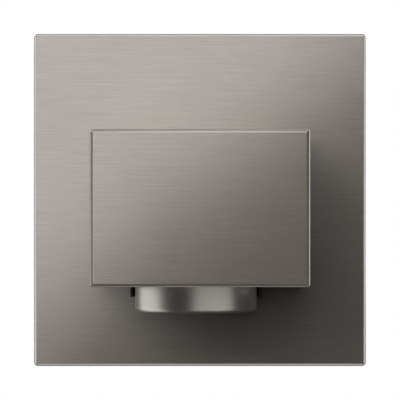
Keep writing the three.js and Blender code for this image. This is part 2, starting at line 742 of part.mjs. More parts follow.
// ---------------------------------------------------------------- knob
function knobShell() {
  const inner = KNOB_R - KNOB_WALL;
  const steps = 5;
  const bend = Array.from({ length: steps + 1 }, (_, step) => {
    const angle = (step / steps) * (Math.PI / 2);
    const radius = KNOB_R - KNOB_EDGE + KNOB_EDGE * Math.sin(angle);
    return [radius, KNOB_BOTTOM + KNOB_EDGE - KNOB_EDGE * Math.cos(angle)];
  });
  const profile = [
    [0, KNOB_BOTTOM],
    ...bend,
    [KNOB_R, KNOB_TOP - 0.3],
    [KNOB_R - 0.3, KNOB_TOP],
    [inner, KNOB_TOP],
    [inner, KNOB_BOTTOM + KNOB_WALL + 0.6],
    [inner - 0.6, KNOB_BOTTOM + KNOB_WALL],
    [0, KNOB_BOTTOM + KNOB_WALL],
  ];
  return turned(profile, knobAxis, 72);
}

function knobCore() {
  const outer = KNOB_R - KNOB_WALL - GAP;
  const low = KNOB_BOTTOM + KNOB_WALL + GAP;
  const top = KNOB_TOP - 0.6;
  const [hub, skirt, web] = [6.4, 1.4, 1.6];
  const profile = [
    [0, low],
    [hub, low],
    [hub, top - web],
    [outer - skirt, top - web],
    [outer - skirt, low + 0.6],
    [outer - 0.8, low + 0.6],
    [outer, low + 1.4],
    [outer, top],
    [0, top],
  ];
  const body = turned(profile, knobAxis, 40);
  const round = rod("z", low + 1, top + 1, SHAFT_R + BORE, [...knobAxis, 0], 24);
  return cut(body, cut(round, beyondFlat(SHAFT_FLAT + BORE, low, top + 2)));
}

// ---------------------------------------------------------------- rocker key
function keyShell() {
  const inner = [KEY_WIDTH - 2 * KEY_WALL, KEY_HEIGHT - 2 * KEY_WALL];
  const mouthHalf = CARRIER_WIDTH / 2 + 1.1;
  const inside = KEY_FRONT + KEY_FACE;
  const low = KEY_Z - KEY_HEIGHT / 2;
  return cut(
    roundedPlate(roundRectangle(KEY_WIDTH, KEY_HEIGHT, KEY_CORNER, 0, KEY_Z), KEY_FRONT, KEY_BACK, KEY_EDGE),
    plate(roundRectangle(...inner, KEY_CORNER, 0, KEY_Z), inside, KEY_BACK + 1),
    box(
      [CARRIER_X - mouthHalf, inside, low - 1],
      [CARRIER_X + mouthHalf, KEY_BACK + 1, low + KEY_WALL + 1],
    ),
  );
}

function keyYoke() {
  const halfWidth = KEY_WIDTH / 2 - KEY_WALL - GAP;
  const top = KEY_Z + KEY_HEIGHT / 2 - KEY_WALL - GAP;
  const bottom = KEY_Z - KEY_HEIGHT / 2 + KEY_WALL + GAP;
  const [front, back] = [KEY_FRONT + KEY_FACE + GAP, -9.8];
  const boss = 2.6; // radius round the axle
  const arm = (side) => {
    const armX = inOrder(side * (EAR_OUTSIDE + 1.1), side * halfWidth);
    const bossX = inOrder(side * (EAR_OUTSIDE + 0.5), side * halfWidth);
    return join(
      box([armX[0], front, bottom], [armX[1], back, top]),
      rod("x", ...bossX, boss, [0, AXLE_Y, KEY_Z], 20),
    );
  };
  // The face behind the steel, with two openings that leave a rib in its middle.
  const faceBack = front + 1.2;
  const opening = (side) => {
    const [left, right] = inOrder(side * 3, side * 18);
    return box([left, front - 1, -8], [right, faceBack + 1, 10]);
  };
  const face = cut(box([-halfWidth, front, -12], [halfWidth, faceBack, top]), opening(-1), opening(1));
  // A beam over the axle, hung from the roof by two posts, carries the stem.
  const [beamFront, beamBack, beamLow, beamHigh] = [-14.5, -10.2, 2.4, 5.4];
  const post = (side) => {
    const [left, right] = inOrder(side * 7.4, side * 8.6);
    return box([left, beamFront, beamHigh - 0.2], [right, beamBack, top - 1]);
  };
  const [neckHalf, stemX] = [2.6, 1.6];
  const whole = join(
    box([-halfWidth, front, top - 1.5], [halfWidth, back, top]),
    arm(-1),
    arm(1),
    face,
    box([-22, beamFront, beamLow], [22, beamBack, beamHigh]),
    post(-1),
    post(1),
    box([-neckHalf, beamFront, KEY_Z - 2 * STEM_HALF], [neckHalf, -9.4, beamLow + 0.2]),
    box([-stemX, -9.5, KEY_Z - STEM_HALF], [stemX, CARRIAGE_Y + 1.8, KEY_Z + STEM_HALF]),
  );
  return cut(whole, rod("x", -halfWidth - 3, halfWidth + 3, PILOT_R, [0, AXLE_Y, KEY_Z], 20));
}

// ---------------------------------------------------------------- assembly
const root = new THREE.Group();

root.add(
  mesh("face_plate", facePlate(), BRUSHED_STEEL),
  mesh("plate_clip_frame", plateClipFrame(), GREY_PLASTIC),
  mesh("support_ring", supportRing(), ZINC_STEEL),
  ...sides.map(([name, side]) => mesh("device_screw_" + name, deviceScrew(side), ZINC_STEEL)),
);

root.add(
  mesh("mechanism_base", mechanismBase(), WHITE_PLASTIC),
  mesh("mechanism_cover", mechanismCover(), WHITE_PLASTIC),
  ...coverScrewPlaces.map(([name, x, z]) => mesh("cover_screw_" + name, coverScrew(x, z), ZINC_STEEL)),
);

for (const [endName, end] of ends) {
  root.add(
    mesh("contact_bridge_" + endName, contactBridge(end), COPPER),
    mesh("centring_spring_" + endName, centringSpring(end), SPRING_STEEL),
  );
  for (const [sideName, side] of sides) {
    const corner = endName + "_" + sideName;
    root.add(
      mesh("contact_strip_" + corner, contactStrip(side, end), BRASS),
      mesh("terminal_block_" + corner, terminalBlock(side, end), BRASS),
      mesh("terminal_screw_" + corner, terminalScrew(side, end), ZINC_STEEL),
    );
  }
}
root.add(mesh("contact_carriage", contactCarriage(), GREY_PLASTIC));

root.add(
  mesh("dimmer_circuit_board", circuitBoard(), BOARD_GREEN),
  mesh("choke_coil", chokeCoil(), COPPER),
  mesh("capacitor", capacitor(), YELLOW_FILM),
  mesh("fuse", fuse(), GLASS),
  mesh("triac", triac(), DARK_RESIN),
  mesh("heat_sink", heatSink(), ALUMINIUM),
  mesh("lead_connector", leadConnector(), WHITE_PLASTIC),
);

root.add(
  mesh("knob_carrier", knobCarrier(), BLACK_PLASTIC),
  ...sides.map(([name, side]) => mesh("carrier_screw_" + name, carrierScrew(side), ZINC_STEEL)),
  mesh("rocker_axle", rod("x", -AXLE_HALF, AXLE_HALF, AXLE_R, [0, AXLE_Y, KEY_Z], 20), ZINC_STEEL),
);

root.add(
  mesh("potentiometer_housing", potentiometerHousing(), ZINC_STEEL),
  mesh("potentiometer_cover", potentiometerCover(), DARK_RESIN),
  mesh("resistive_track", tube(6.2, 3.8, CAN_HIGH - 1.1, CAN_HIGH - 0.1, knobAxis), CARBON),
  mesh("potentiometer_washer", potentiometerWasher(), ZINC_STEEL),
  mesh("potentiometer_nut", potentiometerNut(), ZINC_STEEL),
  mesh("potentiometer_lead", potentiometerLead(), BLACK_PLASTIC),
  mesh("potentiometer_shaft", potentiometerShaft(), ZINC_STEEL),
  mesh("potentiometer_wiper", potentiometerWiper(), BRASS),
);

root.add(
  mesh("knob_shell", knobShell(), BRUSHED_STEEL),
  mesh("knob_core", knobCore(), BLACK_PLASTIC),
  mesh("key_shell", keyShell(), BRUSHED_STEEL),
  mesh("key_yoke", keyYoke(), BLACK_PLASTIC),
);

export default root;
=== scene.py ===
import json
import math

import bmesh
import bpy
from mathutils import Matrix, Vector

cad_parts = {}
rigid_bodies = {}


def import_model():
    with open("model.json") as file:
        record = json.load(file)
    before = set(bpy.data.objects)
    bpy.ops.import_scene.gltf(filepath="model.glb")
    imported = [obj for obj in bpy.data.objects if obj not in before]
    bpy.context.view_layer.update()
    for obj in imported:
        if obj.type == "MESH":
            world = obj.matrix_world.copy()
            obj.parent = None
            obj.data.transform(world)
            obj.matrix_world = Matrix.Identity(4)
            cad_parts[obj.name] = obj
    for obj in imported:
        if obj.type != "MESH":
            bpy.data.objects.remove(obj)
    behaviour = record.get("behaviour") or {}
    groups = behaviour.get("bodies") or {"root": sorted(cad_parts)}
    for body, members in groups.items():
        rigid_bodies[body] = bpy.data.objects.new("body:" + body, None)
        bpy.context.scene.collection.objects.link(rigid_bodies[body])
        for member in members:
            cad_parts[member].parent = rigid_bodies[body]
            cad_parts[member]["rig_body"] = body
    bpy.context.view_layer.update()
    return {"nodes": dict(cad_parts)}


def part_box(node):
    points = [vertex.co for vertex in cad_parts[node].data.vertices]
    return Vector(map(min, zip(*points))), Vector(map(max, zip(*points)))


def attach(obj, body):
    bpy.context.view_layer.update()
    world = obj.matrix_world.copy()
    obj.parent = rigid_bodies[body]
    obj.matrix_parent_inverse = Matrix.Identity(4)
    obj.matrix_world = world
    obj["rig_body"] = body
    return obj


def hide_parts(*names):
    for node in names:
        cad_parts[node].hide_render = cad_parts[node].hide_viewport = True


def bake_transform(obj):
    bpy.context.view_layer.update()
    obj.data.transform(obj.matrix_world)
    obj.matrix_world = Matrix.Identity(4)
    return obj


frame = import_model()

MM = 0.001
TAU = 2 * math.pi

# Sizes in millimetres, in the frame of the CAD: +Z up, the wall at y = 0, the front towards -Y.
PLATE_WALL = 1.6
PLATE_BEVEL = 0.65
PLATE_CORNER = 0.9
WINDOW = (44.0, 30.8)  # width and height of the plate's opening
WINDOW_CORNER = 1.0
KEY_WALL = 1.4
KEY_FACE = 1.5  # thickness of the key's front
KEY_EDGE = 0.85
KEY_CORNER = 0.6
CARRIER_X = -0.83  # middle of the knob's carrier
CARRIER_WIDTH = 31.2
CARRIAGE_Y = 6.2  # middle of the contact carriage
CONTACT_X = 7.2
TERMINAL_Z = 16.0
SIDES = {"left": -1, "right": 1}
ENDS = {"upper": 1, "lower": -1}

scene = bpy.context.scene
scene.view_settings.view_transform = "Standard"


# ---------------------------------------------------------------- node materials
class Shader:
    """A Principled material, with short calls for the nodes behind it."""

    def __init__(self, name, color, roughness, metallic=0.0):
        self.material = bpy.data.materials.new(name)
        self.material.use_nodes = True
        self.tree = self.material.node_tree
        self.bsdf = self.tree.nodes["Principled BSDF"]
        self.set("Base Color", (*color, 1))
        self.set("Roughness", roughness)
        self.set("Metallic", metallic)

    def set(self, socket, value):
        self.bsdf.inputs[socket].default_value = value

    def node(self, kind, **settings):
        made = self.tree.nodes.new(kind)
        for key, value in settings.items():
            setattr(made, key, value)
        return made

    def link(self, source, target):
        self.tree.links.new(source, target)

    def math(self, operation, first, second=0.0, third=None):
        made = self.node("ShaderNodeMath", operation=operation)
        for index, value in enumerate((first, second, third)):
            if value is None:
                continue
            if isinstance(value, (int, float)):
                made.inputs[index].default_value = value
            else:
                self.link(value, made.inputs[index])
        return made.outputs[0]

    def coordinates(self, source, scale):
        """Object or UV coordinates stretched by scale, in cells per metre."""
        place = self.node("ShaderNodeTexCoord")
        mapping = self.node("ShaderNodeMapping")
        mapping.inputs["Scale"].default_value = scale
        self.link(place.outputs[source], mapping.inputs["Vector"])
        return mapping.outputs[0]

    def noise(self, vector, scale=1.0, detail=2.0, rough=0.5):
        made = self.node("ShaderNodeTexNoise")
        made.inputs["Scale"].default_value = scale
        made.inputs["Detail"].default_value = detail
        made.inputs["Roughness"].default_value = rough
        self.link(vector, made.inputs["Vector"])
        return made.outputs["Fac"]

    def spread(self, value, low, high):
        """Stretches a 0 to 1 value to run from low to high."""
        made = self.node("ShaderNodeMapRange")
        made.inputs["To Min"].default_value = low
        made.inputs["To Max"].default_value = high
        self.link(value, made.inputs["Value"])
        return made.outputs[0]

    def ramp(self, value, *stops):
        made = self.node("ShaderNodeValToRGB")
        elements = made.color_ramp.elements
        while len(elements) < len(stops):
            elements.new(0.5)
        for element, (position, color) in zip(elements, stops):
            element.position = position
            element.color = (*color, 1)
        self.link(value, made.inputs[0])
        return made.outputs[0]

    def bump(self, height, strength, distance):
        made = self.node("ShaderNodeBump")
        made.inputs["Strength"].default_value = strength
        made.inputs["Distance"].default_value = distance
        self.link(height, made.inputs["Height"])
        self.link(made.outputs[0], self.bsdf.inputs["Normal"])

    def feed(self, value, socket):
        self.link(value, self.bsdf.inputs[socket])


def scaled(color, factor):
    """A colour made darker or paler, kept in range."""
    return tuple(min(1.0, c * factor) for c in color)


def brushed_steel(name, color, roughness, metallic, streak, depth):
    """Long fine scratches along the mesh's U direction, with uneven gloss and a faint cloudiness."""
    long_scratches, short_scratches, clouds = (60, 2600, 1), (220, 9000, 1), (28, 28, 28)
    s = Shader(name, color, roughness, metallic)
    coarse = s.noise(s.coordinates("UV", long_scratches), detail=3, rough=0.6)
    fine = s.noise(s.coordinates("UV", short_scratches), detail=2, rough=0.6)
    cloud = s.noise(s.coordinates("Object", clouds), detail=2)
    grain = s.math("MULTIPLY_ADD", fine, 0.45, s.math("MULTIPLY", coarse, 0.55))
    tone = s.math("MULTIPLY_ADD", cloud, 0.2, s.math("MULTIPLY", grain, 0.8))
    dark, pale = scaled(color, 1 - streak * 3), scaled(color, 1 + streak * 3)
    s.feed(s.ramp(tone, (0.30, dark), (0.50, color), (0.72, pale)), "Base Color")
    s.feed(s.spread(grain, roughness - 0.05, roughness + 0.05), "Roughness")
    s.bump(grain, depth, 0.00002)
    tangent = s.node("ShaderNodeTangent", direction_type="UV_MAP")
    s.link(tangent.outputs[0], s.bsdf.inputs["Tangent"])
    s.set("Anisotropic", 0.5)
    s.set("Anisotropic Rotation", 0.25)
    return s.material


def moulded_plastic(name, color, roughness, grain=0.35, mottling_and_crease_shade=0.08):
    """Moulded plastic with spark-eroded grain, a slightly uneven gloss, paler rubbed edges and painted
    shade darkening its creases.
    """
    s = Shader(name, color, roughness)
    fine = s.noise(s.coordinates("Object", (4200, 4200, 4200)), detail=3, rough=0.6)
    broad = s.noise(s.coordinates("Object", (90, 90, 90)), detail=2)
    edge = s.node("ShaderNodeNewGeometry").outputs["Pointiness"]
    # Pointiness lightens convex edges and darkens creases; the darkening in the creases is painted
    # shade.
    rubbed_edges_and_crease_shade = s.math("MULTIPLY_ADD", s.spread(edge, -1.4, 1.9), 0.25, s.math("MULTIPLY", broad, 0.75))
    dark, pale = scaled(color, 1 - mottling_and_crease_shade), scaled(color, 1 + 2 * mottling_and_crease_shade)
    s.feed(s.ramp(rubbed_edges_and_crease_shade, (0.25, dark), (0.55, color), (0.85, pale)), "Base Color")
    s.feed(s.spread(fine, roughness - 0.08, roughness + 0.1), "Roughness")
    s.bump(fine, grain, 0.00003)
    s.set("Specular IOR Level", 0.45)
    return s.material


def plated_metal(name, color, roughness, patch=0.1):
    """Zinc or nickel plating on stamped or turned metal: fine speckle, soft patches and dulled edges."""
    s = Shader(name, color, roughness, 1.0)
    speckle = s.noise(s.coordinates("Object", (2600, 2600, 2600)), detail=3, rough=0.65)
    patches = s.noise(s.coordinates("Object", (260, 260, 260)), detail=3)
    tone = s.math("MULTIPLY_ADD", speckle, 0.4, s.math("MULTIPLY", patches, 0.6))
    dark, pale = scaled(color, 1 - 1.6 * patch), scaled(color, 1 + patch)
    s.feed(s.ramp(tone, (0.3, dark), (0.5, color), (0.7, pale)), "Base Color")
    s.feed(s.spread(tone, roughness - 0.1, roughness + 0.14), "Roughness")
    s.bump(speckle, 0.25, 0.00002)
    return s.material


def circuit_board_resist(name):
    """Green solder resist over copper tracks, which show as paler raised bands."""
    s = Shader(name, (0.02, 0.12, 0.06), 0.32)
    bands = s.node("ShaderNodeTexBrick", offset=0.35, squash=1.0)
    bands.inputs["Scale"].default_value = 1.0
    bands.inputs["Mortar Size"].default_value = 0.14
    bands.inputs["Mortar Smooth"].default_value = 0.1
    bands.inputs["Brick Width"].default_value = 1.3
    bands.inputs["Row Height"].default_value = 0.55
    turned = s.node("ShaderNodeCombineXYZ")
    apart = s.node("ShaderNodeSeparateXYZ")
    s.link(s.coordinates("Object", (230, 230, 230)), apart.inputs[0])
    s.link(apart.outputs["X"], turned.inputs["X"])
    s.link(apart.outputs["Z"], turned.inputs["Y"])
    s.link(turned.outputs[0], bands.inputs["Vector"])
    tracks = bands.outputs["Fac"]
    s.feed(s.ramp(tracks, (0.2, (0.012, 0.085, 0.04)), (0.8, (0.05, 0.22, 0.1))), "Base Color")
    s.bump(tracks, 0.4, 0.00004)
    return s.material


def clear_glass(name):
    """Plain glass for the fuse's tube."""
    s = Shader(name, (0.93, 0.97, 0.96), 0.04)
    s.set("Transmission Weight", 1.0)
    s.set("IOR", 1.5)
    return s.material


STEEL_COLOR = (0.53, 0.48, 0.415)
STEEL = brushed_steel("brushed_steel", STEEL_COLOR, 0.14, 0.45, streak=0.06, depth=0.13)
STEEL_TURNED = brushed_steel("turned_steel", STEEL_COLOR, 0.4, 0.75, streak=0.05, depth=0.12)
BLACK = moulded_plastic("black_plastic", (0.032, 0.03, 0.028), 0.5)
GREY = moulded_plastic("grey_plastic", (0.22, 0.225, 0.235), 0.5)
WHITE = moulded_plastic("white_plastic", (0.66, 0.65, 0.61), 0.45, mottling_and_crease_shade=0.04)
ZINC = plated_metal("zinc_plating", (0.62, 0.63, 0.64), 0.36)
SPRING = plated_metal("spring_steel", (0.42, 0.42, 0.43), 0.25)
BRASS = plated_metal("brass", (0.66, 0.49, 0.22), 0.3)
COPPER = plated_metal("copper", (0.72, 0.36, 0.2), 0.3)
SILVER = plated_metal("silver_contact", (0.8, 0.79, 0.76), 0.25)
ALUMINIUM = plated_metal("aluminium", (0.66, 0.67, 0.69), 0.4)
RESIN = moulded_plastic("dark_resin", (0.02, 0.02, 0.022), 0.4)
FILM = moulded_plastic("yellow_film", (0.55, 0.36, 0.05), 0.3)
FERRITE = moulded_plastic("green_ferrite", (0.03, 0.16, 0.1), 0.4)
CARBON = moulded_plastic("carbon_track", (0.015, 0.013, 0.012), 0.65)
BOARD = circuit_board_resist("board_resist")
GLASS = clear_glass("fuse_glass")


# ---------------------------------------------------------------- mesh helpers
def new_object(name, bm, material, smooth_angle=32):
    """A mesh object from a bmesh, shaded smooth except across edges sharper than the angle."""
    bmesh.ops.recalc_face_normals(bm, faces=bm.faces)
    mesh = bpy.data.meshes.new(name)
    bm.to_mesh(mesh)
    bm.free()
    mesh.materials.append(material)
    made = bpy.data.objects.new(name, mesh)
    scene.collection.objects.link(made)
    smooth(mesh, smooth_angle)
    return made


def smooth(mesh, angle):
    """Shades the mesh smooth except across edges sharper than the angle."""
    bm = bmesh.new()
    bm.from_mesh(mesh)
    limit = math.radians(angle)
    for face in bm.faces:
        face.smooth = True
    for edge in bm.edges:
        edge.smooth = len(edge.link_faces) == 2 and edge.calc_face_angle(0) < limit
    bm.to_mesh(mesh)
    bm.free()


def applied(made):
    """Applies the object's modifiers to its mesh."""
    bpy.context.view_layer.update()
    graph = bpy.context.evaluated_depsgraph_get()
    final = bpy.data.meshes.new_from_object(made.evaluated_get(graph))
    made.modifiers.clear()
    made.data = final
    return made


def flat_weighted(made):
    """Weights normals by face area, so that large flat faces stay flat up to their rounded edges."""
    weighted = made.modifiers.new("weighted", "WEIGHTED_NORMAL")
    weighted.keep_sharp = True
    weighted.weight = 100
    return applied(made)


def true_flats(made, least_area):
    """Gives the corners of faces over least_area, in square millimetres, the face's own normal."""
    mesh = made.data
    normals = [corner.vector.copy() for corner in mesh.corner_normals]
    for polygon in mesh.polygons:
        if polygon.area > least_area * MM * MM:
            for loop in polygon.loop_indices:
                normals[loop] = polygon.normal.copy()
    mesh.normals_split_custom_set(normals)


def rounded(made, width, segments=2, angle=35):
    """Rounds the edges sharper than the angle, width in millimetres."""
    bevel = made.modifiers.new("round", "BEVEL")
    bevel.width = width * MM
    bevel.segments = segments
    bevel.limit_method = "ANGLE"
    bevel.angle_limit = math.radians(angle)
    bevel.use_clamp_overlap = True
    applied(made)
    smooth(made.data, 32)
    return flat_weighted(made)


def cut(made, *tools):
    """Cuts the tools out of the object and deletes them."""
    for tool in tools:
        boolean = made.modifiers.new("cut", "BOOLEAN")
        boolean.operation = "DIFFERENCE"
        boolean.solver = "EXACT"
        boolean.object = tool
        applied(made)
        bpy.data.objects.remove(tool)
    return made


def brush_uv(made, axis=None, centre=(0, 0)):
    """UVs in metres whose U runs along the brushing: along X, or round the axis of turned pieces."""
    metres_per_radian = 0.012
    mesh = made.data
    layer = mesh.uv_layers.get("UVMap") or mesh.uv_layers.new(name="UVMap")
    mesh.uv_layers.active = layer
    for polygon in mesh.polygons:
        n = polygon.normal
        for loop in polygon.loop_indices:
            p = mesh.vertices[mesh.loops[loop].vertex_index].co
            if axis == "round":
                dx, dy = p.x - centre[0], p.y - centre[1]
                radius = math.hypot(dx, dy)
                turn = math.atan2(dx, -dy)
                middle = polygon.center
                home = math.atan2(middle.x - centre[0], -(middle.y - centre[1]))
                turn += TAU * round((home - turn) / TAU)
                across = p.z if abs(n.z) < 0.7 else radius
                uv = (turn * metres_per_radian, across)
            elif abs(n.x) > max(abs(n.y), abs(n.z)):
                uv = (p.z, p.y)
            elif abs(n.z) > abs(n.y):
                uv = (p.x, p.y)
            else:
                uv = (p.x, p.z)
            layer.data[loop].uv = uv
    return made


def outline(width, height, corner, steps, x=0.0, z=0.0):
    """Points of a rectangle with round corners, in millimetres, anticlockwise seen from the front."""
    points = []
    for sx, sz, start in ((1, -1, -90), (1, 1, 0), (-1, 1, 90), (-1, -1, 180)):
        cx, cz = x + sx * (width / 2 - corner), z + sz * (height / 2 - corner)
        for i in range(steps + 1):
            angle = math.radians(start + 90 * i / steps)
            points.append((cx + corner * math.cos(angle), cz + corner * math.sin(angle)))
    return points


def bridge(bm, first, second):
    """Joins two rings of the same count with a band of faces."""
    count = len(first)
    for i in range(count):
        bm.faces.new((first[i], first[(i + 1) % count], second[(i + 1) % count], second[i]))


def lofted(rings, closed):
    """A bmesh of rings of points, each joined to the next.

    Closed joins the last ring to the first, and otherwise both ends are capped.
    """
    bm = bmesh.new()
    loops = [[bm.verts.new(Vector(p) * MM) for p in ring] for ring in rings]
    for first, second in zip(loops, loops[1:]):
        bridge(bm, first, second)
    if closed:
        bridge(bm, loops[-1], loops[0])
    else:
        bm.faces.new(loops[0])
        bm.faces.new(loops[-1])
    return bm


def turned(profile, centre, sides=128, axis="z"):
    """A bmesh turned about an axis through centre; the profile lists (radius, place along the axis)."""
    bm = bmesh.new()
    ring_points = []
    for radius, along in profile:
        ring = []
        for i in range(sides if radius > 0 else 1):
            a = TAU * i / sides
            u, v = radius * math.cos(a), radius * math.sin(a)
            place = {"z": (u, v, along), "y": (u, along, v), "x": (along, u, v)}[axis]
            ring.append(bm.verts.new((Vector(place) + Vector(centre)) * MM))
        ring_points.append(ring)
    for first, second in zip(ring_points, ring_points[1:]):
        for i in range(sides):
            a, b = first[i % len(first)], first[(i + 1) % len(first)]
            c, d = second[(i + 1) % len(second)], second[i % len(second)]
            corners = list(dict.fromkeys((a, b, c, d)))
            if len(corners) > 2:
                bm.faces.new(corners)
    return bm


def block(name, low, high):
    """A sharp box, to cut with or to be rounded."""
    (x0, y0, z0), (x1, y1, z1) = low, high
    corners = [[(x0, y0, z0), (x1, y0, z0), (x1, y1, z0), (x0, y1, z0)]]
    corners.append([(x, y, z1) for x, y, _ in corners[0]])
    return new_object(name, lofted(corners, False), BLACK)


def arc_steps(steps):
    """Pairs (sine, cosine) from 0 to a right angle."""
    angles = [math.pi / 2 * i / steps for i in range(steps + 1)]
    return [(math.sin(a), math.cos(a)) for a in angles]


def refined_mesh(node, material):
    """A copy of a CAD node's solid with its flat faces made whole."""
    bm = bmesh.new()
    bm.from_mesh(frame["nodes"][node].data)
    bmesh.ops.remove_doubles(bm, verts=bm.verts, dist=2e-6)
    bmesh.ops.dissolve_limit(bm, angle_limit=math.radians(1), verts=bm.verts, edges=bm.edges)
    made = new_object(node + "_detailed", bm, material)
    for layer in list(made.data.uv_layers):
        made.data.uv_layers.remove(layer)
    return made


def refined(node, body, material, width=0.2, segments=2, angle=35):
    """A CAD node's solid with its edges rounded, which replaces the node."""
    made = refined_mesh(node, material)
    if width:
        rounded(made, width, segments, angle)
    return finished(made, node, body)


def finished(made, node, body):
    """Puts a piece in the place of a CAD node, which it hides, and on its body."""
    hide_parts(node)
    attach(made, body)
    return made


def extra(made, body):
    """A piece that belongs to a body but to no node of its own."""
    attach(made, body)
    return made


def span(node):
    """Lowest and highest corner of a CAD node in millimetres."""
    low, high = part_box(node)
    return low / MM, high / MM


# ---------------------------------------------------------------- camera, lights and stage
PLATE_LOW, PLATE_HIGH = span("face_plate")
PLATE_SIZE = PLATE_HIGH.x - PLATE_LOW.x
PLATE_FRONT = PLATE_LOW.y
CAMERA_DISTANCE = 528.0
VIEW_WIDTH = 97.44  # millimetres of the plate's front plane across the picture
PANEL_TINT = (0.94, 0.985, 1.055)
WARM_TINT = (1.1, 1.0, 0.9)


def make_camera():
    """A camera square to the plate, which shows VIEW_WIDTH of its front plane."""
    data = bpy.data.cameras.new("camera")
    data.sensor_width = 36
    data.lens = data.sensor_width * CAMERA_DISTANCE / VIEW_WIDTH
    data.clip_start, data.clip_end = 0.01, 20
    camera = bpy.data.objects.new("camera", data)
    scene.collection.objects.link(camera)
    camera.location = Vector((0, PLATE_FRONT - CAMERA_DISTANCE, 0)) * MM
    camera.rotation_euler = (math.pi / 2, 0, 0)
    scene.camera = camera


def area_light(name, place, target, size, radiance, color=(1, 1, 1), roll=0.0):
    """A soft rectangular light, in metres; radiance is what a mirror would show of it."""
    data = bpy.data.lights.new(name, "AREA")
    data.shape = "RECTANGLE"
    data.size, data.size_y = size
    data.energy = radiance * math.pi * size[0] * size[1]
    data.color = color
    light = bpy.data.objects.new(name, data)
    scene.collection.objects.link(light)
    light.location = place
    aim = (Vector(target) - Vector(place)).to_track_quat("-Z", "Y")
    light.rotation_euler = (aim.to_matrix() @ Matrix.Rotation(roll, 3, "Z")).to_euler()
    light.visible_camera = False
    return light


def around(tilt, azimuth, distance=0.9):
    """A place in front of the plate: tilt from the plate's axis, azimuth clockwise from straight up."""
    tilt, azimuth = math.radians(tilt), math.radians(azimuth)
    across = distance * math.sin(tilt)
    return (across * math.sin(azimuth), -distance * math.cos(tilt), across * math.cos(azimuth))


def key_panel(name, depth, turn, edge, radiance):
    """A panel in front of the plate, turned so that its lower right edge fades across the steel."""
    wide, along, slide = 0.42, 0.62, 0.05
    turn = math.radians(turn)
    out = edge - wide / 2
    x = out * math.cos(turn) + slide * math.sin(turn)
    z = slide * math.cos(turn) - out * math.sin(turn)
    return area_light(name, (x, depth, z), (x, 0, z), (wide, along), radiance, PANEL_TINT, -turn)


def rim_strip(name, place, size, radiance):
    """A strip near the plate's plane, which draws a bright line along the edges that face it."""
    return area_light(name, place, (0, -0.02, 0), size, radiance, PANEL_TINT)


def knob_panel(name, place, size, radiance):
    """A panel aimed at the knob's side."""
    return area_light(name, place, (0, -0.02, -0.02), size, radiance, PANEL_TINT)


def make_lights():
    """Returns the lamps kept off the knob, and those that light the knob alone."""
    middle, back_size = (0, 0, 0), (0.8, 0.8)
    # Together the three panels make one soft-edged reflection in the flat steel.
    # The large lamp high on the left throws the key's soft shadow down to the right.
    # The narrow lamp above lights the key's upper edge.
    flat_lamps = [
        key_panel("key_panel_left", -0.8, 42, -0.014, 0.56),
        key_panel("key_panel_top", -0.76, 62, -0.014, 0.62),
        key_panel("key_panel_outer", -0.72, 46, 0.018, 0.24),
        area_light("upper_left", around(50, 315), middle, (0.7, 0.6), 1.75, WARM_TINT),
        area_light("upper_front", around(42, 0), middle, (0.12, 0.8), 1.15),
        rim_strip("left_rim", (-0.55, 0.07, 0), (0.18, 1.2), 1.8),
        rim_strip("right_rim", (0.5, 0.11, 0), (0.22, 1.2), 1.5),
        rim_strip("top_rim", (0, 0.06, 0.6), (1.2, 0.18), 1.7),
        rim_strip("bottom_rim", (0, 0.07, -0.6), (1.2, 0.16), 1.3),
        area_light("back_left", (-0.7, 0.8, 0.5), middle, back_size, 1.4),
        area_light("back_right", (0.8, 0.7, 0.3), middle, back_size, 1.1),
    ]
    knob_lamps = [
        knob_panel("knob_right", (0.43, -0.67, -0.2), (1.25, 0.5), 1.2),
        knob_panel("knob_left", (-0.58, 0.08, -0.22), (0.7, 0.6), 1.6),
    ]
    return flat_lamps, knob_lamps


def link_lamps(lamps, name, made, state):
    """Lets lamps light only one object, or everything but that object."""
    group = bpy.data.collections.new(name)
    group.objects.link(made)
    group.collection_objects[0].light_linking.link_state = state
    for lamp in lamps:
        lamp.light_linking.receiver_collection = group


def make_world():
    """White where the camera sees it, and dim grey for reflections."""
    world = bpy.data.worlds.new("studio")
    scene.world = world
    world.use_nodes = True
    tree = world.node_tree
    dim = tree.nodes["Background"]
    dim.inputs[0].default_value = (0.004, 0.004, 0.004, 1)
    bright = tree.nodes.new("ShaderNodeBackground")
    bright.inputs[0].default_value = (1, 1, 1, 1)
    path = tree.nodes.new("ShaderNodeLightPath")
    mix = tree.nodes.new("ShaderNodeMixShader")
    tree.links.new(path.outputs["Is Camera Ray"], mix.inputs[0])
    tree.links.new(dim.outputs[0], mix.inputs[1])
    tree.links.new(bright.outputs[0], mix.inputs[2])
    tree.links.new(mix.outputs[0], tree.nodes["World Output"].inputs[0])


def make_floor():
    """A pale floor well below the wall switch, which throws no light on the object."""
    level, radius, thick = -800, 3000, 4
    shader = Shader("floor_paint", (0.8, 0.8, 0.79), 0.7)
    drift = shader.noise(shader.coordinates("Object", (0.8, 0.8, 0.8)))
    shader.feed(shader.ramp(drift, (0.3, (0.77, 0.77, 0.76)), (0.7, (0.81, 0.81, 0.8))), "Base Color")
    shader.set("Emission Color", (0.8, 0.8, 0.79, 1))
    shader.set("Emission Strength", 0.7)
    profile = [(0, level), (radius, level), (radius, level - thick), (0, level - thick)]
    floor = new_object("floor", turned(profile, (0, 0, 0), 96), shader.material)
    floor.visible_diffuse = False
    floor.visible_glossy = False


make_camera()
make_world()
flat_lamps, knob_lamps = make_lights()
make_floor()


# ---------------------------------------------------------------- face plate
def soft_chamfer(bevel, inner, outer, steps=4):
    """Pairs (inset, depth) down an edge cut at 45 degrees, whose two corners have the radii given."""
    tangent = math.tan(math.pi / 8)
    angles = [math.pi / 4 * i / steps for i in range(steps + 1)]
    face = [(bevel + inner * (tangent - math.sin(a)), inner * (1 - math.cos(a))) for a in angles]
    angles.reverse()
    side = [(outer * (1 - math.cos(a)), bevel + outer * (tangent - math.sin(a))) for a in angles]
    return face + side


def ring_at(points, y):
    return [(x, y, z) for x, z in points]


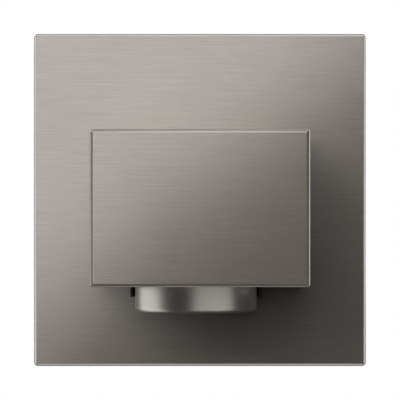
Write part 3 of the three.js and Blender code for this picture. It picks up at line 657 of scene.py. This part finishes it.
def face_plate():
    """A dished plate: a flat front with a window, and a rim that runs back to the wall."""
    front, back = PLATE_LOW.y, PLATE_HIGH.y
    inside = front + PLATE_WALL
    key_low, key_high = span("key_shell")
    key_z = (key_low.z + key_high.z) / 2
    steps, least_corner = 8, 0.3
    lip, fillet = 0.15, 0.5

    def outer(inset):
        side = PLATE_SIZE - 2 * inset
        return outline(side, side, max(PLATE_CORNER - inset, least_corner), steps)

    def opening(grow):
        width, height = WINDOW
        return outline(width + 2 * grow, height + 2 * grow, WINDOW_CORNER + grow, steps, z=key_z)

    rings = [ring_at(opening(lip), front)]
    for inset, depth in soft_chamfer(PLATE_BEVEL, 0.12, 0.9):
        rings.append(ring_at(outer(inset), front + depth))
    rings += [
        ring_at(outer(0), back - 0.2),
        ring_at(outer(0.06), back - 0.06),
        ring_at(outer(0.2), back),
        ring_at(outer(PLATE_WALL - 0.2), back),
        ring_at(outer(PLATE_WALL), back - 0.2),
        ring_at(outer(PLATE_WALL), inside + fillet),
        ring_at(outer(PLATE_WALL + 0.15), inside + 0.15),
        ring_at(outer(PLATE_WALL + fillet), inside),
        ring_at(opening(0.0), inside),
        ring_at(opening(0.0), front + lip),
    ]
    made = flat_weighted(new_object("face_plate_brushed", lofted(rings, True), STEEL))
    return finished(brush_uv(made), "face_plate", "device")


# ---------------------------------------------------------------- rocker key
def key_shell():
    """A deep box open at the back, with a mouth in its floor for the knob and its carrier."""
    low, high = span("key_shell")
    width, height = high.x - low.x, high.z - low.z
    z = (low.z + high.z) / 2
    front, back = low.y, high.y
    inside = front + KEY_FACE
    steps, least_corner = 6, 0.18
    break_edge, fillet = 0.15, 0.4

    def outer(inset):
        corner = max(KEY_CORNER - inset, least_corner)
        return outline(width - 2 * inset, height - 2 * inset, corner, steps, z=z)

    rings = []
    for rise, run in arc_steps(7):
        rings.append(ring_at(outer(KEY_EDGE * (1 - rise)), front + KEY_EDGE * (1 - run)))
    rings += [
        ring_at(outer(0), back - break_edge),
        ring_at(outer(break_edge), back),
        ring_at(outer(KEY_WALL - break_edge), back),
        ring_at(outer(KEY_WALL), back - break_edge),
        ring_at(outer(KEY_WALL), inside + fillet),
        ring_at(outer(KEY_WALL + fillet), inside),
    ]
    made = new_object("key_shell_brushed", lofted(rings, False), STEEL)
    clearance, past = 1.1, 2
    half = CARRIER_WIDTH / 2 + clearance
    mouth_low = (CARRIER_X - half, inside, low.z - past)
    mouth_high = (CARRIER_X + half, back + past, low.z + KEY_WALL + 0.6)
    cut(made, block("mouth", mouth_low, mouth_high))
    rounded(made, 0.12, 2, 60)
    return finished(brush_uv(made), "key_shell", "key")


# ---------------------------------------------------------------- knob
def knob_shell():
    """A turned cup whose closed end faces down, with a shallow dish in its underside."""
    low, high = span("knob_shell")
    centre = (low + high) / 2
    radius, wall, bend = (high.x - low.x) / 2, 1.2, 1.0
    dish_depth, rim_width = 0.25, 3.0
    bottom, top = low.z, high.z
    floor = bottom + wall + 0.3
    profile = [(0, bottom + dish_depth), (radius - rim_width - 0.6, bottom + dish_depth)]
    profile += [(radius - rim_width - 0.3, bottom + 0.05), (radius - rim_width, bottom)]
    for rise, run in arc_steps(8):
        profile.append((radius - bend + bend * rise, bottom + bend - bend * run))
    profile += [(radius, top - 0.35), (radius - 0.1, top - 0.1), (radius - 0.35, top)]
    profile += [(radius - wall, top), (radius - wall, bottom + wall + 0.9)]
    profile += [(radius - wall - 0.6, floor), (0, floor)]
    surface = turned(profile, (centre.x, centre.y, 0), 160)
    made = new_object("knob_shell_turned", surface, STEEL_TURNED)
    brush_uv(made, "round", (centre.x * MM, centre.y * MM))
    return finished(made, "knob_shell", "knob")


# ---------------------------------------------------------------- screws
def thread_surface(radius, pitch, start, end, x, z, sides=28, per_turn=10):
    """A screw shank along y with a helical ridge, tapering at its tip."""
    ridge_height, run_in = 0.28, 1.5
    tip_length, tip_share = 1.2, 0.45  # the tip narrows to this share of the radius
    rings = []
    count = int((end - start) / pitch * per_turn)
    for i in range(count + 1):
        y = start + (end - start) * i / count
        taper = min(1.0, (end - y) / tip_length + tip_share)
        fade = min(1.0, (y - start) / run_in)
        ring = []
        for j in range(sides):
            angle = TAU * j / sides
            phase = (y / pitch - j / sides) % 1.0
            ridge = 1 - abs(2 * phase - 1)
            r = (radius - ridge_height * fade * (1 - ridge)) * taper
            ring.append((x + r * math.cos(angle), y, z + r * math.sin(angle)))
        rings.append(ring)
    return lofted(rings, False)


def screw(node, radius, pitch, head_radius, head_depth, slot):
    """A cross-slotted screw: a domed head that stands before the node's threaded shank."""
    low, high = span(node)
    centre = (low + high) / 2
    x, z, front, back = centre.x, centre.z, low.y, low.y + head_depth
    profile = [(0, front)]
    dome_depth, dome_share, dome_steps = 0.28 * head_depth, 0.86, 6
    for i in range(1, dome_steps + 1):
        part = i / dome_steps
        profile.append((head_radius * dome_share * part, front + dome_depth * 0.5 * part * part))
    profile += [
        (head_radius * 0.96, front + dome_depth * 0.9),
        (head_radius, front + dome_depth * 1.6),
        (head_radius, back - 0.1),
        (head_radius - 0.1, back),
        (0, back),
    ]
    head = new_object(node + "_head", turned(profile, (x, 0, z), 48, "y"), ZINC)
    reach, floor = head_radius * 0.62, front + head_depth * 0.55  # of the cross slot
    past = 1
    bars = []
    for half_width, half_height in ((slot / 2, reach), (reach, slot / 2)):
        bar_low = (x - half_width, front - past, z - half_height)
        bars.append(block("bar", bar_low, (x + half_width, floor, z + half_height)))
    cut(head, *bars)
    rounded(head, 0.06, 1, 50)
    extra(head, "device")
    thread = thread_surface(radius, pitch, back - 0.05, high.y, x, z)
    return finished(new_object(node + "_thread", thread, ZINC, 60), node, "device")


# ---------------------------------------------------------------- springs and windings
def wire(name, points, radius, material, sides=10):
    """A round wire through points in millimetres, as a mesh tube with capped ends."""
    rings = []
    up = Vector((0.3, 0.2, 0.93)).normalized()  # along none of the wires' first steps
    for i, p in enumerate(points):
        before, after = points[max(i - 1, 0)], points[min(i + 1, len(points) - 1)]
        along = (Vector(after) - Vector(before)).normalized()
        side = along.cross(up).normalized()
        up = side.cross(along).normalized()
        ring = []
        for j in range(sides):
            angle = TAU * j / sides
            ring.append(Vector(p) + radius * (math.cos(angle) * side + math.sin(angle) * up))
        rings.append(ring)
    return new_object(name, lofted(rings, False), material, 50)


def centring_spring(node):
    """A coil of wire in the node's place, wound flat at each end, which replaces the node."""
    low, high = span(node)
    centre = (low + high) / 2
    radius, wire_radius, turns, per_turn = 2.1, 0.28, 6.5, 28
    flat = 0.11  # share of the length at each end that is wound flat
    z0, z1 = low.z + wire_radius, high.z - wire_radius
    points = []
    count = int(turns * per_turn)
    for i in range(count + 1):
        part = i / count
        climb = min(1, max(0, (part - flat) / (1 - 2 * flat)))
        angle = TAU * turns * part
        x, y = centre.x + radius * math.cos(angle), CARRIAGE_Y + radius * math.sin(angle)
        points.append((x, y, z0 + (z1 - z0) * climb))
    coil = wire(node + "_coil", points, wire_radius, SPRING)
    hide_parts(node)
    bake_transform(coil)


def choke_coil():
    """A ferrite ring wound with copper wire over most of its turn."""
    low, high = span("choke_coil")
    c = (low + high) / 2
    inner, outer, edge, wire_room = 3.0, 5.3, 0.4, 0.7
    y0, y1 = low.y + wire_room, high.y - wire_room
    profile = [(inner, y0 + edge), (inner + edge, y0), (outer - edge, y0), (outer, y0 + edge)]
    profile += [(outer, y1 - edge), (outer - edge, y1), (inner + edge, y1), (inner, y1 - edge)]
    profile.append(profile[0])
    core = new_object("choke_core", turned(profile, (c.x, 0, c.z), 72, "y"), FERRITE, 50)
    weld(core)
    finished(core, "choke_coil", "device")
    turns, per_turn, gap = 24, 16, 0.32
    squareness, snugness = 0.55, 0.92  # each turn is a squarish loop, pulled close to the ring
    first, covered = 20, 320  # degrees round the ring
    half_r, half_y = (outer - inner) / 2 + gap, (y1 - y0) / 2 + gap
    points = []
    for i in range(turns * per_turn + 1):
        sweep = math.radians(first + covered * i / (turns * per_turn))
        a = TAU * i / per_turn
        squash = max(abs(math.cos(a)), abs(math.sin(a))) ** squareness
        r = (inner + outer) / 2 + half_r * math.cos(a) / squash * snugness
        y = (y0 + y1) / 2 + half_y * math.sin(a) / squash * snugness
        points.append((c.x + r * math.cos(sweep), y, c.z + r * math.sin(sweep)))
    winding = wire("choke_winding", points, 0.26, COPPER, 8)
    extra(winding, "device")


def weld(made):
    """Merges the points that lie on each other."""
    bm = bmesh.new()
    bm.from_mesh(made.data)
    bmesh.ops.remove_doubles(bm, verts=bm.verts, dist=1e-6)
    bm.to_mesh(made.data)
    bm.free()


# ---------------------------------------------------------------- mechanism box and its contents
def slab(name, points, front, back):
    """A flat plate of an outline between two depths, to cut with."""
    rings = [ring_at(points, front), ring_at(points, back)]
    return new_object(name, lofted(rings, False), BLACK)


def mechanism_base():
    """The mechanism box, with a shallow panel, funnels for the wires and slots in its roof and floor."""
    low, high = span("mechanism_base")
    back = high.y
    made = refined_mesh("mechanism_base", WHITE)
    panel_depth, funnel_depth, past = 0.4, 0.9, 0.2
    hole_radius, mouth_radius = 1.72, 2.9
    panel = outline(width=26, height=18, corner=1.5, steps=4)
    tools = [slab("panel", panel, back - panel_depth, back + 1)]
    funnel = [(0, back - funnel_depth), (hole_radius, back - funnel_depth)]
    funnel += [(mouth_radius, back + past), (0, back + past)]
    for side in SIDES.values():
        for end_name, end in ENDS.items():
            block_low, block_high = span(f"terminal_block_{end_name}_right")
            x, z = side * (block_low.x + block_high.x) / 2, end * TERMINAL_Z
            tools.append(new_object("funnel", turned(funnel, (x, 0, z), 32, "y"), BLACK))
    slot_front, slot_back = 4.5, 22.5
    for x in (-4.8, 0.0, 4.8):
        for z in (low.z, high.z):
            slot = outline(width=2.6, height=1.2, corner=0.3, steps=3, x=x, z=z)
            tools.append(slab("slot", slot, slot_front, slot_back))
    cut(made, *tools)
    rounded(made, 0.25, 2, 40)
    true_flats(made, 100)
    return finished(made, "mechanism_base", "device")


def support_ring():
    """The steel ring, with a hole near each corner and a bead pressed round its window."""
    low, high = span("support_ring")
    made = refined_mesh("support_ring", ZINC)
    reach, hole_radius, bead_depth = 27.5, 1.6, 0.35
    hole = [(0, low.y - 1), (hole_radius, low.y - 1), (hole_radius, high.y + 1), (0, high.y + 1)]
    tools = []
    for side in SIDES.values():
        for end in ENDS.values():
            drill = turned(hole, (side * reach, 0, end * reach), 28, "y")
            tools.append(new_object("hole", drill, BLACK))
    outer = outline(width=53, height=51, corner=6, steps=6)
    inner = outline(width=50, height=48, corner=5, steps=6)
    bead = [ring_at(outer, low.y - 1), ring_at(outer, low.y + bead_depth)]
    bead += [ring_at(inner, low.y + bead_depth), ring_at(inner, low.y - 1)]
    tools.append(new_object("bead", lofted(bead, True), BLACK))
    cut(made, *tools)
    rounded(made, 0.12, 2, 40)
    return finished(made, "support_ring", "device")


def fuse():
    """A glass tube between two metal caps, with a wire that sags inside it."""
    low, high = span("fuse")
    y, z = (low.y + high.y) / 2, (low.z + high.z) / 2
    tube_radius, cap_radius, cap_length, wall = 2.2, (high.z - low.z) / 2, 4.4, 0.35
    left, right = low.x + 0.4, high.x - 0.4
    tube = [(tube_radius, left), (tube_radius, right)]
    tube += [(tube_radius - wall, right), (tube_radius - wall, left), tube[0]]
    glass = new_object("fuse_tube", turned(tube, (0, y, z), 40, "x"), GLASS)
    weld(glass)
    finished(glass, "fuse", "device")
    inner, bore, end_wall = cap_radius - 0.35, tube_radius + 0.02, 0.4
    cap = [(0, 0), (inner, 0), (cap_radius, 0.35), (cap_radius, cap_length - 0.3)]
    cap += [(cap_radius - 0.1, cap_length), (bore, cap_length), (bore, end_wall), (0, end_wall)]
    for name, start, turn in (("left", low.x, 1), ("right", high.x, -1)):
        points = [(radius, start + turn * along) for radius, along in cap]
        made = new_object(f"fuse_cap_{name}", turned(points, (0, y, z), 40, "x"), ZINC)
        extra(made, "device")
    steps, clearance, sag = 40, 0.5, 0.35
    length = high.x - low.x - 2 * clearance
    inside = []
    for i in range(steps + 1):
        x = low.x + clearance + length * i / steps
        inside.append((x, y, z - sag * math.sin(math.pi * i / steps)))
    extra(wire("fuse_wire", inside, 0.09, SPRING, 8), "device")


def triac():
    """The dimmer's switching part: a resin body, a metal tab and three bent legs."""
    low, high = span("triac")
    refined("triac", "device", RESIN, 0.25)
    tab_low = (low.x + 0.3, low.y + 3.2, low.z - 0.22)
    tab_high = (high.x - 0.3, high.y + 0.2, low.z - 0.05)
    extra(refined_box("triac_tab", tab_low, tab_high), "device")
    middle, pitch, leg_radius = (low.x + high.x) / 2, 2.54, 0.32
    for index, step in enumerate((-pitch, 0, pitch)):
        x = middle + step
        leg = [(x, low.y + 0.4, high.z - 0.6), (x, low.y + 0.3, high.z + 0.7)]
        leg += [(x, low.y - 0.05, high.z + 1.1), (x, low.y - 2.2, high.z + 1.1)]
        extra(wire(f"triac_leg_{index + 1}", leg, leg_radius, ZINC, 8), "device")


def refined_box(name, low, high):
    """A small plated box with rounded edges."""
    made = block(name, low, high)
    made.data.materials[0] = ZINC
    return rounded(made, 0.04, 2)


def contact_tip(name, x, z, turn, radius, body):
    """A shallow silver dome whose base is at z; turn is 1 if it faces up and -1 if it faces down."""
    dome = [(0, 0.035), (0.5, 0.03), (0.85, 0.018), (0.98, 0), (0.9, -0.2), (0, -0.2)]
    points = [(radius * share, z + turn * rise) for share, rise in dome]
    tip = new_object(name, turned(points, (x, CARRIAGE_Y, 0), 28), SILVER)
    extra(tip, body)


def contact_tips():
    """Silver faces on the bridges' and the strips' contacts."""
    for end_name, end in ENDS.items():
        bridge_node = f"contact_bridge_{end_name}"
        low, high = span(bridge_node)
        bridge_face = high.z if end > 0 else low.z
        bridge_body = frame["nodes"][bridge_node]["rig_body"]
        for side_name, side in SIDES.items():
            where = f"{end_name}_{side_name}"
            x = side * CONTACT_X
            strip_low, strip_high = span(f"contact_strip_{where}")
            strip_face = strip_low.z if end > 0 else strip_high.z
            contact_tip(f"contact_tip_bridge_{where}", x, bridge_face, end, 1.2, bridge_body)
            contact_tip(f"contact_tip_strip_{where}", x, strip_face, -end, 1.3, "device")


def solder_joints():
    """Solder on the front of the circuit board, where the parts' wires come through."""
    front = span("dimmer_circuit_board")[0].y
    places = [(-15.2, 6.6), (-1.8, 6.6), (4.2, 6.6), (13.0, 6.6), (-14.6, -3.6), (-6.2, -3.6)]
    places += [(6.46, -0.1), (9.0, -0.1), (11.54, -0.1), (-14.2, 9.4), (-11.8, 9.4)]
    cone = [(0, front - 0.62), (0.34, front - 0.58), (0.42, front - 0.3)]
    cone += [(0.62, front - 0.12), (0.95, front + 0.02), (0, front + 0.02)]
    for index, (x, z) in enumerate(places):
        solder = turned(cone, (x, 0, z), 24, "y")
        joint = new_object(f"solder_joint_{index + 1:02d}", solder, SILVER)
        extra(joint, "device")


# ---------------------------------------------------------------- assembly
face_plate()
key_shell()
knob = knob_shell()
link_lamps(knob_lamps, "knob_alone", knob, "INCLUDE")
link_lamps(flat_lamps, "all_but_knob", knob, "EXCLUDE")

for side in SIDES:
    screw(f"device_screw_{side}", radius=1.5, pitch=0.8, head_radius=3.1, head_depth=2.1, slot=0.7)
for end in ENDS:
    screw(f"cover_screw_{end}", radius=1.2, pitch=0.6, head_radius=2.2, head_depth=1.0, slot=0.5)
for side in SIDES:
    screw(f"carrier_screw_{side}", radius=1.2, pitch=0.6, head_radius=2.2, head_depth=1.5, slot=0.5)

for end in ENDS:
    centring_spring(f"centring_spring_{end}")
choke_coil()
mechanism_base()
support_ring()
fuse()
triac()
contact_tips()
solder_joints()

# Each remaining node's material and the width its edges are rounded by.
LOOKS = {
    "plate_clip_frame": (GREY, 0.25),
    "mechanism_cover": (WHITE, 0.2),
    "knob_carrier": (BLACK, 0.22),
    "rocker_axle": (ZINC, 0.15),
    "key_yoke": (BLACK, 0.2),
    "knob_core": (BLACK, 0.2),
    "contact_carriage": (GREY, 0.2),
    "contact_bridge_upper": (COPPER, 0.1),
    "contact_bridge_lower": (COPPER, 0.1),
    "dimmer_circuit_board": (BOARD, 0.08),
    "capacitor": (FILM, 0.4),
    "heat_sink": (ALUMINIUM, 0.12),
    "lead_connector": (WHITE, 0.15),
    "potentiometer_housing": (ZINC, 0.2),
    "potentiometer_cover": (RESIN, 0.1),
    "resistive_track": (CARBON, 0.05),
    "potentiometer_washer": (ZINC, 0.08),
    "potentiometer_nut": (ZINC, 0.15),
    "potentiometer_lead": (BLACK, 0.0),
    "potentiometer_shaft": (ZINC, 0.2),
    "potentiometer_wiper": (BRASS, 0.06),
}
for end in ENDS:
    for side in SIDES:
        LOOKS[f"contact_strip_{end}_{side}"] = (BRASS, 0.1)
        LOOKS[f"terminal_block_{end}_{side}"] = (BRASS, 0.2)
        LOOKS[f"terminal_screw_{end}_{side}"] = (ZINC, 0.1)

for node, (material, width) in LOOKS.items():
    refined(node, frame["nodes"][node]["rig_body"], material, width)
